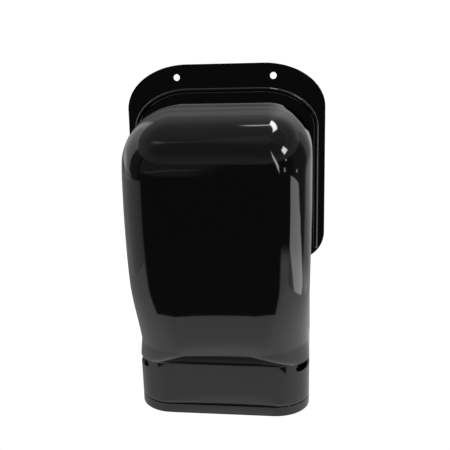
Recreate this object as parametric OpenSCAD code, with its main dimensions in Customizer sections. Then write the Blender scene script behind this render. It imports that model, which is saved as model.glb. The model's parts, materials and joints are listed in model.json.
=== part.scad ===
// Hooded duct vent cover: a flanged base for a wall or a roof skin, a push-on hood
// that turns the duct's air down through a neck, a backdraught damper and a
// removable insect screen. Millimetres. +Z is up, the hood faces -Y, and the
// origin is on the duct bore's axis in the plane of the flange's back face.

/* [Flange] */
// Width of the flange
flange_w = 150; // [146:1:160]
// Height of the flange
flange_h = 150; // [148:1:156]
// Thickness of the flange and of the tail plate behind the neck
plate_t = 3; // [2.8:0.1:4]
// Width of the rounded top corners
flange_corner_w = 46; // [40:1:50]
// Height of the rounded top corners
flange_corner_h = 33; // [28:1:36]
// Radius of the bottom corners
flange_foot_r = 22; // [18:1:24]
// Radius of the four fixing holes
fixing_r = 2.5; // [2:0.1:2.7]
// Distance between the fixing holes across the flange
fixing_dx = 73; // [72:1:76]
// Distance between the fixing holes up the flange
fixing_dz = 131; // [130:1:132]

/* [Duct] */
// Radius of the bore that takes a 100 mm duct
duct_r = 50.6; // [50.2:0.1:50.8]
// Height of the duct's axis below the flange's top edge
duct_drop = 95; // [94:0.5:96]
// How far the duct sleeve stands in front of the flange
sleeve_h = 9; // [8:0.5:9]

/* [Hood] */
// Height of the hood's top below the flange's top edge
hood_drop = 29.2; // [28:0.2:30]
// Width of the hood at its widest
hood_w = 131; // [130:0.5:132]
// Depth of the hood in front of the flange
hood_d = 87; // [86:0.5:90]
// Thickness of the moulded walls
wall = 2.5; // [2:0.1:2.8]
// Height of the curved roof
roof_h = 49; // [46:1:52]
// Height of the hood's rounded top corners, seen from the front
shoulder_h = 36; // [34:1:38]
// Width of the hood's neck
neck_w = 128.6; // [128:0.2:129]
// Depth of the neck in front of the flange
neck_d = 57.1; // [56:0.5:58]
// Radius of the neck's front corners
neck_r = 26.5; // [24:0.5:28]

/* [Outlet] */
// Height of the rim ring under the neck
rim_h = 7.5; // [6:0.5:9]
// Height of the screen cartridge's spigot inside the neck
spigot_h = 10; // [8:1:10]

/* [Hidden] */

gap = 0.3;                 // clearance between parts that slide past each other
fine = 96;                 // segments of a drawn circle
arc_steps = 12;            // segments of a quarter arc in an outline
overcut = 1;               // how far a cutting shape reaches past what it cuts

// Heights, measured up from the duct's axis
flange_top = duct_drop;
flange_foot = duct_drop - flange_h;
hood_top = duct_drop - hood_drop;
fixing_mid = flange_top - 9.5 - fixing_dz / 2;

// The hood's profile, as distances t below the hood's top and depths in front of the flange
roof_flat_d = 8;           // depth of the roof's level strip beside the flange
roof_flat_half = 32;       // half the width of the roof's level part
shoulder_w = hood_w / 2 - roof_flat_half;
corner_d = 30;             // how far back the front corners start to turn
front_bend = 80.8;         // where the front starts to curve back
front_bend_r = 270;        // radius of that curve
turn_start = 172.8;        // where it starts to turn under, towards the neck
turn_r = 22.8;             // radius of that turn
neck_end = 217.5;          // bottom edge of the neck
neck_draft = 2.0;          // the neck's front leans back by this much, down to its bottom edge
waist_start = 70;          // where the sides start to taper
waist_end = 171;           // where they are narrowest
waist_half = 63.5;         // half width there
low_corner_w = 40;         // the front corners grow to this width above the neck
low_corner_d = 42;         // and to this depth
low_corner_start = 120;

function clamp01(x) = max(0, min(1, x));
function mix(a, b, k) = a + (b - a) * k;
function ease(a, b, x) = let (k = clamp01((x - a) / (b - a))) k * k * (3 - 2 * k);
function y_at(depth) = -(plate_t + depth);
function z_at(t) = hood_top - t;

// The front's tilt back from upright: none, then along the bend, then along the turn.
// Both are arcs that start where the one before them ends, at the same tilt.
turn_tilt = asin((turn_start - front_bend) / front_bend_r);
turn_d = hood_d - front_bend_r * (1 - cos(turn_tilt));
crease_d = neck_d + neck_draft;
crease_tilt = acos(cos(turn_tilt) - (turn_d - crease_d) / turn_r);
crease = turn_start + turn_r * (sin(crease_tilt) - sin(turn_tilt));   // where it meets the neck
function tilt(t) = t > turn_start
    ? asin(sin(turn_tilt) + (t - turn_start) / turn_r)
    : asin(max(0, t - front_bend) / front_bend_r);
function front_d(t) = t > turn_start
    ? turn_d - turn_r * (cos(turn_tilt) - cos(tilt(t)))
    : hood_d - front_bend_r * (1 - cos(tilt(t)));
// Half the width at the back of the hood, inset by e
function half_w(t, e) =
    t < shoulder_h
        ? roof_flat_half + (shoulder_w - e) * sqrt(max(0, 1 - pow(1 - (t - e) / (shoulder_h - e), 2)))
        : mix(mix(hood_w / 2, waist_half, clamp01((t - waist_start) / (waist_end - waist_start))),
              neck_w / 2, ease(waist_end, crease, t)) - e;

// One level of the hood: [t, half width, front depth, corner width, corner depth], inset by e
function roof_level(angle, e) = let (
        t = e + (roof_h - e) * (1 - cos(angle)),
        w = half_w(t, e))
    [t, w, roof_flat_d + (hood_d - roof_flat_d - e) * sin(angle),
     min(w - roof_flat_half, shoulder_w - e), (corner_d - e) * sin(angle)];
function body_level(t, e) = let (
        low = ease(low_corner_start, turn_start, t),
        k = clamp01((turn_d - front_d(t)) / (turn_d - crease_d)),
        e_front = e * cos(tilt(t)))
    [t - e * sin(tilt(t)), half_w(t, e), front_d(t) - e_front,
     mix(mix(shoulder_w, low_corner_w, low), neck_r, k) - e,
     mix(mix(corner_d, low_corner_d, low), neck_r, k) - e_front];
function neck_level(t, e) = let (draft = neck_draft * clamp01((neck_end - t) / (neck_end - crease)))
    [t, neck_w / 2 - e, neck_d + draft - e, neck_r - e, neck_r - e];

roof_angles = [4, 10, 17, 25, 33, 41, 50, 58, 66, 74.6, 82, 90];
bend_steps = 6;
turn_steps = 5;
function hood_levels(e) = concat(
    [for (a = roof_angles) roof_level(a, e)],
    [for (k = [0:bend_steps]) body_level(mix(front_bend, turn_start, k / bend_steps), e)],
    [for (k = [1:turn_steps]) let (a = mix(turn_tilt, crease_tilt, k / turn_steps))
        body_level(turn_start + turn_r * (sin(a) - sin(turn_tilt)), e)],
    [neck_level(crease + 0.2, e), neck_level(neck_end, e)]);

// A level's outline, from its back left corner round the front to its back right corner
corner_steps = 8;
function level_points(level, back) = let (
        z = z_at(level[0]), w = level[1], d = level[2], cw = level[3], cd = level[4])
    concat(
        [[-w, y_at(back), z]],
        [for (i = [0:corner_steps]) let (a = 90 * i / corner_steps)
            [-(w - cw) - cw * cos(a), y_at(d - cd + cd * sin(a)), z]],
        [for (i = [corner_steps:-1:0]) let (a = 90 * i / corner_steps)
            [(w - cw) + cw * cos(a), y_at(d - cd + cd * sin(a)), z]],
        [[w, y_at(back), z]]);

// A shell that is open at the back and below, between two sets of levels
module open_shell(outer, inner) {
    n = len(outer[0]);
    rows = len(outer);
    points = concat([for (row = outer) each row], [for (row = inner) each row]);
    function at(row, i) = row * n + i;
    function in(row, i) = (rows + row) * n + i;
    function quad(a, b, c, d) = [[a, b, c], [a, c, d]];
    faces = concat(
        [[for (i = [n - 1:-1:0]) at(0, i)]],
        [[for (i = [0:n - 1]) in(0, i)]],
        [for (r = [0:rows - 2], i = [0:n - 2])
            each quad(at(r, i), at(r, i + 1), at(r + 1, i + 1), at(r + 1, i))],
        [for (r = [0:rows - 2], i = [0:n - 2])
            each quad(in(r, i), in(r + 1, i), in(r + 1, i + 1), in(r, i + 1))],
        [for (r = [0:rows - 2])
            each quad(at(r, 0), at(r + 1, 0), in(r + 1, 0), in(r, 0))],
        [for (r = [0:rows - 2])
            each quad(at(r, n - 1), in(r, n - 1), in(r + 1, n - 1), at(r + 1, n - 1))],
        quad(at(0, n - 1), at(0, 0), in(0, 0), in(0, n - 1)),
        [for (i = [0:n - 2])
            each quad(at(rows - 1, i), at(rows - 1, i + 1), in(rows - 1, i + 1), in(rows - 1, i))]);
    polyhedron(points = points, faces = faces, convexity = 6);
}

// Points of a quarter ellipse about (cx, cz), from angle a0 to a1
function arc(cx, cz, rx, rz, a0, a1) =
    [for (i = [0:arc_steps]) let (a = mix(a0, a1, i / arc_steps)) [cx + rx * cos(a), cz + rz * sin(a)]];
// An arch with upright sides: half width w, from foot up to top, with rounded top corners
function arch(w, foot, top, rx, rz) = concat(
    [[w, foot]],
    arc(w - rx, top - rz, rx, rz, 0, 90),
    arc(rx - w, top - rz, rx, rz, 90, 180),
    [[-w, foot]]);
// The hood's outline as the back of it meets the flange, inset by e, down to foot
function hood_arch(e, foot) = let (
        heights = [36, 60, 100, 140, waist_end, 175, 179, 183, crease],
        side = concat([[half_w(hood_top - foot, e), foot]],
            [for (i = [len(heights) - 1:-1:1]) if (z_at(heights[i]) > foot)
                [half_w(heights[i], e), z_at(heights[i])]]),
        shoulder = arc(roof_flat_half, z_at(shoulder_h), shoulder_w - e, shoulder_h - e, 0, 90))
    concat(side, shoulder,
        [for (i = [len(shoulder) - 1:-1:0]) [-shoulder[i][0], shoulder[i][1]]],
        [for (i = [len(side) - 1:-1:0]) [-side[i][0], side[i][1]]]);

// Stands an outline drawn in X and Z on the plane at this depth, and thickens it forwards
module slab(depth, thick) {
    translate([0, y_at(depth), 0]) rotate([90, 0, 0]) linear_extrude(height = thick) children();
}
// A rod along Y, from one depth to another
module rod_y(r, from, to) {
    translate([0, y_at(from), 0]) rotate([90, 0, 0]) cylinder(r = r, h = to - from, $fn = fine);
}
// A rod along X, from one x to another
module rod_x(r, from, to) {
    translate([from, 0, 0]) rotate([0, 90, 0]) cylinder(r = r, h = to - from, $fn = fine);
}
module each_side() {
    for (side = [-1, 1]) scale_x(side) children();
}
module scale_x(side) {
    if (side < 0) mirror([1, 0, 0]) children();
    else children();
}

// ---- Base ----

ridge_h = 1.8;             // height of the raised ridge round the hood
ridge_half = 69.9;         // half width over the ridge
ridge_t = 3.2;             // width of the ridge at its foot
ridge_top = flange_top - 18;
upstand_h = 7;             // height of the rib that locates the hood
upstand_t = 2;             // thickness of that rib
upstand_foot = z_at(neck_end) + spigot_h + 3.5;
sleeve_r = duct_r + 2.4;
gasket_t = 1;              // depth of the gasket's recess
gasket_foot = flange_foot + flange_foot_r + 1;
land_r = 4.4;              // the gasket's holes, round a solid land at each fixing hole
seal_in = 0.5;             // the cover seal's inset from the hood's outline
seal_out = 2.1;
seal_groove = 0.7;

pivot_d = 5;               // the damper's axis in front of the flange
pivot_z = 56;              // and above the duct's axis
spindle_r = 2;
bush_r = 3.5;
lug_in = 30;               // the lugs that carry the spindle, from here
lug_out = 34;              // to here

module at_pivot() {
    translate([0, y_at(pivot_d), pivot_z]) children();
}
module flange_outline() {
    square_half = flange_w / 2;
    corner_w = flange_corner_w;
    corner_h = flange_corner_h;
    foot_r = flange_foot_r;
    polygon(concat(
        arc(square_half - foot_r, flange_foot + foot_r, foot_r, foot_r, -90, 0),
        arc(square_half - corner_w, flange_top - corner_h, corner_w, corner_h, 0, 90),
        arc(corner_w - square_half, flange_top - corner_h, corner_w, corner_h, 90, 180),
        arc(foot_r - square_half, flange_foot + foot_r, foot_r, foot_r, 180, 270)));
}
module ridge_band(inset) {
    intersection() {
        difference() {
            polygon(arch(ridge_half - inset, flange_foot, ridge_top - inset, 42 - inset, 30 - inset));
            polygon(arch(ridge_half - ridge_t + inset, flange_foot - overcut,
                ridge_top - ridge_t + inset, 42 - ridge_t + inset, 30 - ridge_t + inset));
        }
        flange_outline();
    }
}
module gasket_band(grow) {
    difference() {
        polygon(arch(71 + grow, gasket_foot - grow, flange_top - 4 + grow, 43, 30));
        polygon(arch(59 - grow, gasket_foot - overcut, flange_top - 16 - grow, 36, 24));
        fixing_places() circle(r = land_r - grow, $fn = fine);
    }
}
module seal_band(grow) {
    foot = z_at(neck_end) + 1;
    difference() {
        polygon(hood_arch(seal_in - grow, foot));
        polygon(hood_arch(seal_out + grow, foot - overcut));
    }
}
module upstand_band() {
    difference() {
        polygon(hood_arch(wall + gap, upstand_foot));
        polygon(hood_arch(wall + gap + upstand_t, upstand_foot - overcut));
    }
}
// The four fixing holes, in the plane of the flange
module fixing_places() {
    for (x = [-1, 1], z = [-1, 1])
        translate([x * fixing_dx / 2, fixing_mid + z * fixing_dz / 2]) children();
}
module spindle_lug() {
    lug_r = 4.5;
    difference() {
        union() {
            at_pivot() rod_x(lug_r, lug_in, lug_out);
            translate([lug_in, y_at(pivot_d), pivot_z - lug_r])
                cube([lug_out - lug_in, pivot_d + plate_t / 2, 2 * lug_r + 1]);
        }
        at_pivot() rod_x(bush_r, lug_in - overcut, lug_out + overcut);
    }
}

button_z = z_at(189);      // height of the release slots
button_stem = 5;           // side of the square stem
post_in = 44;              // the guide post, from here
post_out = 47;             // to here
stem_d = 22;               // depth of the stem's axis

module button_post() {
    window = button_stem + 2 * gap;
    difference() {
        translate([post_in, y_at(stem_d + 8), button_z - 6.5])
            cube([post_out - post_in, stem_d + 8 + plate_t / 2, 13]);
        translate([post_in - overcut, y_at(stem_d) - window / 2, button_z - window / 2])
            cube([post_out - post_in + 2 * overcut, window, window]);
    }
}
module base_flange() color("#141416") {
    difference() {
        union() {
            slab(-plate_t, plate_t) flange_outline();
            translate([-neck_w / 2, -plate_t, z_at(neck_end)])
                cube([neck_w, plate_t, flange_foot - z_at(neck_end) + 4]);
            slab(-plate_t / 2, plate_t / 2 + 0.9) ridge_band(0);
            slab(0, ridge_h) ridge_band(0.7);
            slab(-plate_t / 2, plate_t / 2 + upstand_h) upstand_band();
            rod_y(sleeve_r, -plate_t / 2, sleeve_h);
            each_side() spindle_lug();
            each_side() button_post();
        }
        rod_y(duct_r, -plate_t - overcut, sleeve_h + overcut);
        slab(-plate_t - overcut, plate_t + overcut + ridge_h)
            fixing_places() circle(r = fixing_r, $fn = fine);
        slab(-plate_t - overcut, gasket_t + overcut) gasket_band(0.2);
        slab(-seal_groove, seal_groove + 0.01) seal_band(0.05);
    }
}
module flange_gasket() color("#26282a") {
    slab(-plate_t, gasket_t) gasket_band(0);
}
module cover_seal() color("#1d1e1f") {
    slab(-seal_groove, seal_groove + 0.2) seal_band(0);
}

// ---- Hood ----

slot_h = 5.5;              // height of the release slots in the neck
slot_front_d = 50.9;       // where the slots end, on the front corners
slot_back_d = 12;          // where they start, near the flange
slot_half = 54.8;          // they cut everything further out than this

module release_slot() {
    length = slot_front_d - slot_back_d;
    translate([slot_half, y_at(slot_front_d), button_z - slot_h / 2])
        cube([neck_w / 2, length - slot_h / 2, slot_h]);
    translate([slot_half, y_at(slot_back_d + slot_h / 2), button_z])
        rotate([0, 90, 0]) cylinder(d = slot_h, h = neck_w / 2, $fn = fine);
}
module hood_cover() color("#101012") {
    back = gap;
    difference() {
        open_shell(
            [for (level = hood_levels(0)) level_points(level, back)],
            [for (level = hood_levels(wall)) level_points(level, back)]);
        each_side() release_slot();
    }
}

// ---- Outlet and screen ----

rim_top = z_at(neck_end) - 0.4;
rim_foot = rim_top - rim_h;
rim_back = 0.5;            // the rim's back face stands this far off the wall
spigot_t = 1.6;
ledge_z = rim_top + 2;     // the ledge that carries the mesh
ledge_t = 1.5;
mesh_t = 0.8;
frame_t = 2.4;

// The neck's plan, inset by e, from y = back to its front. Its front corners are round.
module neck_plan(e, back) {
    half = neck_w / 2 - e;
    r = neck_r - e;
    front = y_at(neck_d - e);
    polygon(concat(
        [[half, back]], arc(half - r, front + r, r, r, 0, -90), arc(r - half, front + r, r, r, -90, -180),
        [[-half, back]]));
}
module neck_ring(outer, inner, back_outer, back_inner, foot, height) {
    translate([0, 0, foot]) linear_extrude(height = height) difference() {
        neck_plan(outer, back_outer);
        neck_plan(inner, back_inner);
    }
}
spigot_in = wall + gap;            // the spigot's outer face
rim_in = spigot_in + spigot_t;     // the rim's and the spigot's inner face
spigot_back = -(plate_t + 0.5);
inner_back = spigot_back - spigot_t;
ledge_in = rim_in + 5;
// Two screws along the back of the ledge, and two closer together along its front
screw_xy = [for (side = [-1, 1]) each
    [[side * 40, inner_back - 2.5], [side * 32, y_at(neck_d - rim_in - 2.5)]]];
module screw_places() {
    for (place = screw_xy) translate(concat(place, 0)) children();
}
module outlet_rim() color("#121214") {
    difference() {
        union() {
            neck_ring(0, rim_in, -rim_back, inner_back, rim_foot, rim_h);
            neck_ring(spigot_in, rim_in, spigot_back, inner_back, rim_top - 0.5, spigot_h + 0.5);
            neck_ring(rim_in - 0.5, ledge_in, inner_back + 0.5, inner_back - 5, ledge_z - ledge_t, ledge_t);
        }
        translate([0, 0, ledge_z]) screw_places() translate([0, 0, -ledge_t - overcut])
            cylinder(r = 0.9, h = ledge_t + 2 * overcut, $fn = fine);
    }
}
module insect_mesh() color("#8b8f93") {
    pitch = 7;
    wire = 1.2;
    translate([0, 0, ledge_z]) linear_extrude(height = mesh_t) difference() {
        neck_plan(rim_in + gap, inner_back - gap);
        intersection() {
            neck_plan(ledge_in + 0.5, inner_back - 5.5);
            for (column = [-8:8], row = [0:6])
                translate([column * pitch, inner_back - 9.2 - row * pitch])
                    square([pitch - wire, pitch - wire], center = true);
        }
        screw_places() circle(r = 1.2, $fn = fine);
    }
}
module screen_frame() color("#1b1c1e") {
    difference() {
        neck_ring(rim_in + gap, ledge_in, inner_back - gap, inner_back - 5, ledge_z + mesh_t, frame_t);
        translate([0, 0, ledge_z]) screw_places()
            cylinder(r = 1.2, h = mesh_t + frame_t + overcut, $fn = fine);
    }
}
module screen_screws() color("#b9bcc0") {
    head_z = ledge_z + mesh_t + frame_t;
    tip_z = ledge_z - ledge_t - 0.5;
    screw_places() {
        translate([0, 0, tip_z]) cylinder(r = 0.9, h = head_z - tip_z, $fn = fine);
        difference() {
            translate([0, 0, head_z]) cylinder(r = 1.9, h = 1.3, $fn = fine);
            for (turn = [0, 90]) translate([0, 0, head_z + 1.1]) rotate([0, 0, turn])
                cube([2.2, 0.5, 1], center = true);
        }
    }
}

// ---- Damper ----

seal_t = 1.9;              // thickness of the foam ring
flap_r = 54.5;
flap_t = 2.2;
flap_d = sleeve_h + 0.1 + seal_t;  // depth of the flap's back face
knuckle_in = 20;
knuckle_out = 28;
knuckle_r = 4;

module damper_flap() color("#202124") {
    difference() {
        union() {
            rod_y(flap_r, flap_d, flap_d + flap_t);
            difference() {
                rod_y(flap_r, flap_d, flap_d + flap_t + 1.2);
                rod_y(flap_r - 2, flap_d - overcut, flap_d + flap_t + 1.2 + overcut);
            }
            for (x = [-30, 0, 30])
                translate([x - 0.8, y_at(flap_d + flap_t + 1), -38]) cube([1.6, 1.5, 76]);
            each_side() {
                at_pivot() rod_x(knuckle_r, knuckle_in, knuckle_out);
                translate([knuckle_in, y_at(flap_d + flap_t), pivot_z - knuckle_r])
                    cube([knuckle_out - knuckle_in, flap_d + flap_t - pivot_d, knuckle_r + 1]);
                translate([knuckle_in, y_at(flap_d + flap_t), 40])
                    cube([knuckle_out - knuckle_in, flap_t, pivot_z + 1 - 40]);
            }
        }
        at_pivot() rod_x(spindle_r, -lug_out, lug_out);
    }
}
module damper_seal() color("#34373a") {
    difference() {
        rod_y(flap_r - 0.5, flap_d - seal_t, flap_d);
        rod_y(flap_r - 5, flap_d - seal_t - overcut, flap_d + overcut);
    }
}
module damper_spindle() color("#c3c6ca") {
    at_pivot() rod_x(spindle_r, -lug_out - 2.5, lug_out + 2.5);
}
module spindle_bush(side) color("#e6e3da") {
    scale_x(side) at_pivot() difference() {
        union() {
            rod_x(bush_r, lug_in, lug_out);
            rod_x(bush_r + 0.8, lug_in - 0.8, lug_in);
        }
        rod_x(spindle_r + 0.05, lug_in - 0.8 - overcut, lug_out + overcut);
    }
}
module spindle_clip(side) color("#9da1a6") {
    scale_x(side) at_pivot() difference() {
        rod_x(bush_r + 0.4, lug_out + 0.4, lug_out + 1.2);
        rod_x(spindle_r, lug_out, lug_out + 2);
        translate([lug_out, -1, -5]) cube([2, 2, 5]);
    }
}
module spindle_bush_left() { spindle_bush(-1); }
module spindle_bush_right() { spindle_bush(1); }
module spindle_clip_left() { spindle_clip(-1); }
module spindle_clip_right() { spindle_clip(1); }

// ---- Release buttons, behind the slots ----

button_face = 61.1;        // the nose's outer face, just inside the neck's wall
button_back = 56.9;        // the back of the button's plate
button_travel = 3;
module release_button(side) color("#17181a") {
    nose_d = [14, 30];
    scale_x(side) {
        translate([button_back + 1.9, y_at(nose_d[1]), button_z - 2.15])
            cube([button_face - button_back - 1.9, nose_d[1] - nose_d[0], 4.3]);
        translate([button_back, y_at(nose_d[1] + 2), button_z - 5.5])
            cube([2, nose_d[1] - nose_d[0] + 4, 11]);
        translate([post_in - 1, y_at(stem_d) - button_stem / 2, button_z - button_stem / 2])
            cube([button_back - post_in + 1.5, button_stem, button_stem]);
        translate([post_in - 1.8, y_at(stem_d) - 3.6, button_z - 3.6])
            cube([1.6, 7.2, 7.2]);
    }
}
module button_spring(side) color("#c7cacd") {
    scale_x(side) translate([0, y_at(stem_d), button_z]) difference() {
        rod_x(5, post_out + 0.1, button_back - 0.1);
        rod_x(4.2, post_out, button_back);
    }
}
module release_button_left() { release_button(-1); }
module release_button_right() { release_button(1); }
module button_spring_left() { button_spring(-1); }
module button_spring_right() { button_spring(1); }

base_flange();
flange_gasket();
cover_seal();
hood_cover();
outlet_rim();
screen_frame();
insect_mesh();
screen_screws();
damper_flap();
damper_seal();
damper_spindle();
spindle_bush_left();
spindle_bush_right();
spindle_clip_left();
spindle_clip_right();
release_button_left();
release_button_right();
button_spring_left();
button_spring_right();
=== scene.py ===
"""The looks of a glossy black duct vent cover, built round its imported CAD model.

Sizes are in millimetres until a mesh is made. +Z is up, the hood faces -Y, and a depth is
a distance in front of the flange's face."""

import json
import math

import bmesh
import bpy
import numpy as np
from mathutils import Matrix, Vector, geometry

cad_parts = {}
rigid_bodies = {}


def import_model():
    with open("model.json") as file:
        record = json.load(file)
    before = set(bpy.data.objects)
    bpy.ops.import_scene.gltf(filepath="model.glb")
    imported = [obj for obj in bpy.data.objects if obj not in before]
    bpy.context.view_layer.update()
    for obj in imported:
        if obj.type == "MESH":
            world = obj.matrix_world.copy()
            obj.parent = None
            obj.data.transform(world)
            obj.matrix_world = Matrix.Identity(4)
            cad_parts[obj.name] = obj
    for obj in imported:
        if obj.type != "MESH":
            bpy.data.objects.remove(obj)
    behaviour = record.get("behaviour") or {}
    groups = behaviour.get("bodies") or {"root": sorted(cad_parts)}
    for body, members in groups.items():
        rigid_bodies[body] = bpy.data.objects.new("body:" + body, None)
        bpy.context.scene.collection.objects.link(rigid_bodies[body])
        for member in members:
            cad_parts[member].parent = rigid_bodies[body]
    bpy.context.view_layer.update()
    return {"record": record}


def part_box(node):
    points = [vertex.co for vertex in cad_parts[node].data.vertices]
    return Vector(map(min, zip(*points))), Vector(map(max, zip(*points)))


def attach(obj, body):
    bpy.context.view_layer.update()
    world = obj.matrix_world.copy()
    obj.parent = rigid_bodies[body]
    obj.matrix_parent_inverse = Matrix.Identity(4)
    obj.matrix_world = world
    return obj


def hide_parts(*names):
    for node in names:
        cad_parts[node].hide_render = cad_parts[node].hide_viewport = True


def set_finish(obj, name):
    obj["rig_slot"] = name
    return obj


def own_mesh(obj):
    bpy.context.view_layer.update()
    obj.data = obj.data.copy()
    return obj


MM = 0.001

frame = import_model()
RECORD_SLOTS = {part["node"]: part["material_slot"] for part in frame["record"]["subparts"]}


def node_box(node):
    """A CAD node's lowest and highest corners, in millimetres."""
    low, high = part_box(node)
    return np.array(low) / MM, np.array(high) / MM


# ---- Driving sizes: the frame's own boxes, and the wall that they don't show ----

base_high = node_box("base_flange")[1]
hood_low, hood_high = node_box("hood_cover")
rim_low, rim_high = node_box("outlet_rim")

PLATE_T = 3.0
WALL = 2.5
GAP = 0.3
FLANGE_TOP = base_high[2]
FLANGE_HALF = base_high[0]
HOOD_TOP = round(hood_high[2], 1)
HOOD_HALF = round(hood_high[0], 1)
HOOD_D = round(-hood_low[1] - PLATE_T, 1)
NECK_FOOT = hood_low[2]
NECK_HALF = rim_high[0]
PLATE_MIDDLE_Y = -PLATE_T / 2
SPINDLE_HALF = node_box("damper_spindle")[1][0]


def mix(a, b, k):
    """From a, at k = 0, to b, at k = 1."""
    return a + (b - a) * k


def ease(a, b, x):
    """0 below a, 1 above b, and a smooth rise between them."""
    k = np.clip((x - a) / (b - a), 0, 1)
    return k * k * (3 - 2 * k)


def y_at(depth):
    """The y of a depth in front of the flange's face."""
    return -(PLATE_T + depth)


def z_at(t):
    """The z of a distance t below the hood's top."""
    return HOOD_TOP - t


# ---- Mesh tools ----


class Shape:
    """Points and faces that grow into one mesh."""

    def __init__(self):
        self.points, self.faces = [], []

    def add(self, points, faces):
        """Adds faces that number these points from 0."""
        start = len(self.points)
        self.points.extend(np.asarray(points, float).tolist())
        self.faces.extend([[start + i for i in face] for face in faces])

    def make(self, name, body, node, sharp_angle=40, flat_sided=True):
        """The finished piece, in the node's place and with its material. A flat-sided piece has
        its normals weighed."""
        piece = add_mesh(name, self.points, self.faces, sharp_angle)
        if flat_sided:
            weigh_normals(piece)
        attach(piece, body)
        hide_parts(node)
        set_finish(piece, RECORD_SLOTS[node])
        return piece


def add_mesh(name, points, faces, sharp_angle=40):
    """A mesh object from points in millimetres, shaded smooth but for its sharp edges."""
    mesh = bpy.data.meshes.new(name)
    mesh.from_pydata((np.asarray(points, float) * MM).tolist(), [], [list(f) for f in faces])
    work = bmesh.new()
    work.from_mesh(mesh)
    bmesh.ops.recalc_face_normals(work, faces=work.faces)
    work.to_mesh(mesh)
    work.free()
    mesh.shade_smooth()
    mesh.set_sharp_from_angle(angle=math.radians(sharp_angle))
    piece = bpy.data.objects.new(name, mesh)
    bpy.context.scene.collection.objects.link(piece)
    return piece


def weigh_normals(piece):
    """Lets the large flat faces set the shading where they meet the small rounded edges."""
    modifier = piece.modifiers.new("weighted", "WEIGHTED_NORMAL")
    modifier.keep_sharp = True
    seen = piece.evaluated_get(bpy.context.evaluated_depsgraph_get())
    piece.data = bpy.data.meshes.new_from_object(seen)
    piece.modifiers.clear()


def placed(points, axis):
    """Points drawn as (across, up, level) put so that the level runs along this axis."""
    order = {"x": (2, 0, 1), "y": (0, 2, 1), "z": (0, 1, 2)}[axis]
    return np.asarray(points, float)[:, order]


def turned(loop, way):
    """The loop, running anticlockwise if way is 1 and clockwise if it is -1."""
    x, y = loop[:, 0], loop[:, 1]
    area = np.sum(x * np.roll(y, -1) - np.roll(x, -1) * y)
    return loop if area * way > 0 else loop[::-1]


def outward(loop):
    """The step at each point that moves the loop's edges out by one."""
    step = np.roll(loop, -1, axis=0) - loop
    step /= np.linalg.norm(step, axis=1, keepdims=True)
    normal = np.stack([step[:, 1], -step[:, 0]], axis=1)
    before = np.roll(normal, 1, axis=0)
    return (normal + before) / (1 + np.sum(normal * before, axis=1, keepdims=True))


def inside(point, loops):
    """Whether a point is inside an odd number of the loops."""
    crossings = 0
    for loop in loops:
        nxt = np.roll(loop, -1, axis=0)
        straddles = (loop[:, 1] > point[1]) != (nxt[:, 1] > point[1])
        rise = np.where(straddles, nxt[:, 1] - loop[:, 1], 1)
        at = loop[:, 0] + (point[1] - loop[:, 1]) * (nxt[:, 0] - loop[:, 0]) / rise
        crossings += int(np.sum(straddles & (at > point[0])))
    return crossings % 2 == 1


def rounding(low, high, r_low, r_high):
    """[inset, level] pairs up the edge of a slab with rounded edges."""
    steps = np.radians([0, 30, 60, 90])
    if r_low:
        first = [(r_low * (1 - math.sin(a)), low + r_low * (1 - math.cos(a))) for a in steps]
    else:
        first = [(0.0, low)]
    if r_high:
        last = [(r_high * (1 - math.cos(a)), high - r_high * (1 - math.sin(a))) for a in steps]
    else:
        last = [(0.0, high)]
    return first + last


def extruded(shape, loops, low, high, axis, r_low=0.3, r_high=0.3):
    """Adds a slab drawn as an outline and its holes, from low to high along an axis, with its
    edges rounded by r_low and r_high."""
    loops = [turned(np.asarray(loop, float), -1 if k else 1) for k, loop in enumerate(loops)]
    profile = rounding(low, high, r_low, r_high)
    points, faces, starts = [], [], []
    for loop in loops:
        out, n = outward(loop), len(loop)
        starts.append(len(points))
        for row, (inset, level) in enumerate(profile):
            ring = loop - out * inset
            first = len(points)
            points.extend([(*p, level) for p in ring])
            if row:
                faces.extend([[first + i - n, first + (i + 1) % n - n, first + (i + 1) % n, first + i]
                              for i in range(n)])
    for row in (0, len(profile) - 1):
        ids, borders, rings = [], [], []
        for loop, start in zip(loops, starts):
            n, begin = len(loop), len(ids)
            ids.extend(range(start + row * n, start + row * n + n))
            borders.extend([(begin + i, begin + (i + 1) % n) for i in range(n)])
            rings.append(np.array(points[start + row * n:start + row * n + n])[:, :2])
        flat = [Vector(points[i][:2]) for i in ids]
        found = geometry.delaunay_2d_cdt(flat, borders, [], 1, 1e-6)
        for triangle in found[2]:
            middle = sum((found[0][v] for v in triangle), Vector((0, 0))) / 3
            if inside(middle, rings):
                faces.append([ids[found[3][v][0]] for v in triangle])
    shape.add(placed(points, axis), faces)


def swept(shape, path, profile, axis, closed=False, end_scale=1.0):
    """Adds a profile of (out from the path, level) pairs carried along a flat path. At the ends
    of an open path the profile's height is scaled by end_scale."""
    path = np.asarray(path, float)
    step = np.roll(path, -1, axis=0) - np.roll(path, 1, axis=0)
    if not closed:
        step[0], step[-1] = path[1] - path[0], path[-1] - path[-2]
    step /= np.linalg.norm(step, axis=1, keepdims=True)
    out = np.stack([step[:, 1], -step[:, 0]], axis=1)
    m, n = len(profile), len(path)
    points = []
    for k in range(n):
        ends = k in (0, n - 1) and not closed
        for across, level in profile:
            x, y = path[k] + out[k] * across
            points.append((x, y, mix(profile[0][1], level, end_scale) if ends else level))
    faces = []
    for k in range(n if closed else n - 1):
        a, b = k * m, (k + 1) % n * m
        faces.extend([[a + i, a + (i + 1) % m, b + (i + 1) % m, b + i] for i in range(m)])
    if not closed:
        faces.append(list(range(m)))
        faces.append(list(range((n - 1) * m, n * m)))
    shape.add(placed(points, axis), faces)


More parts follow.
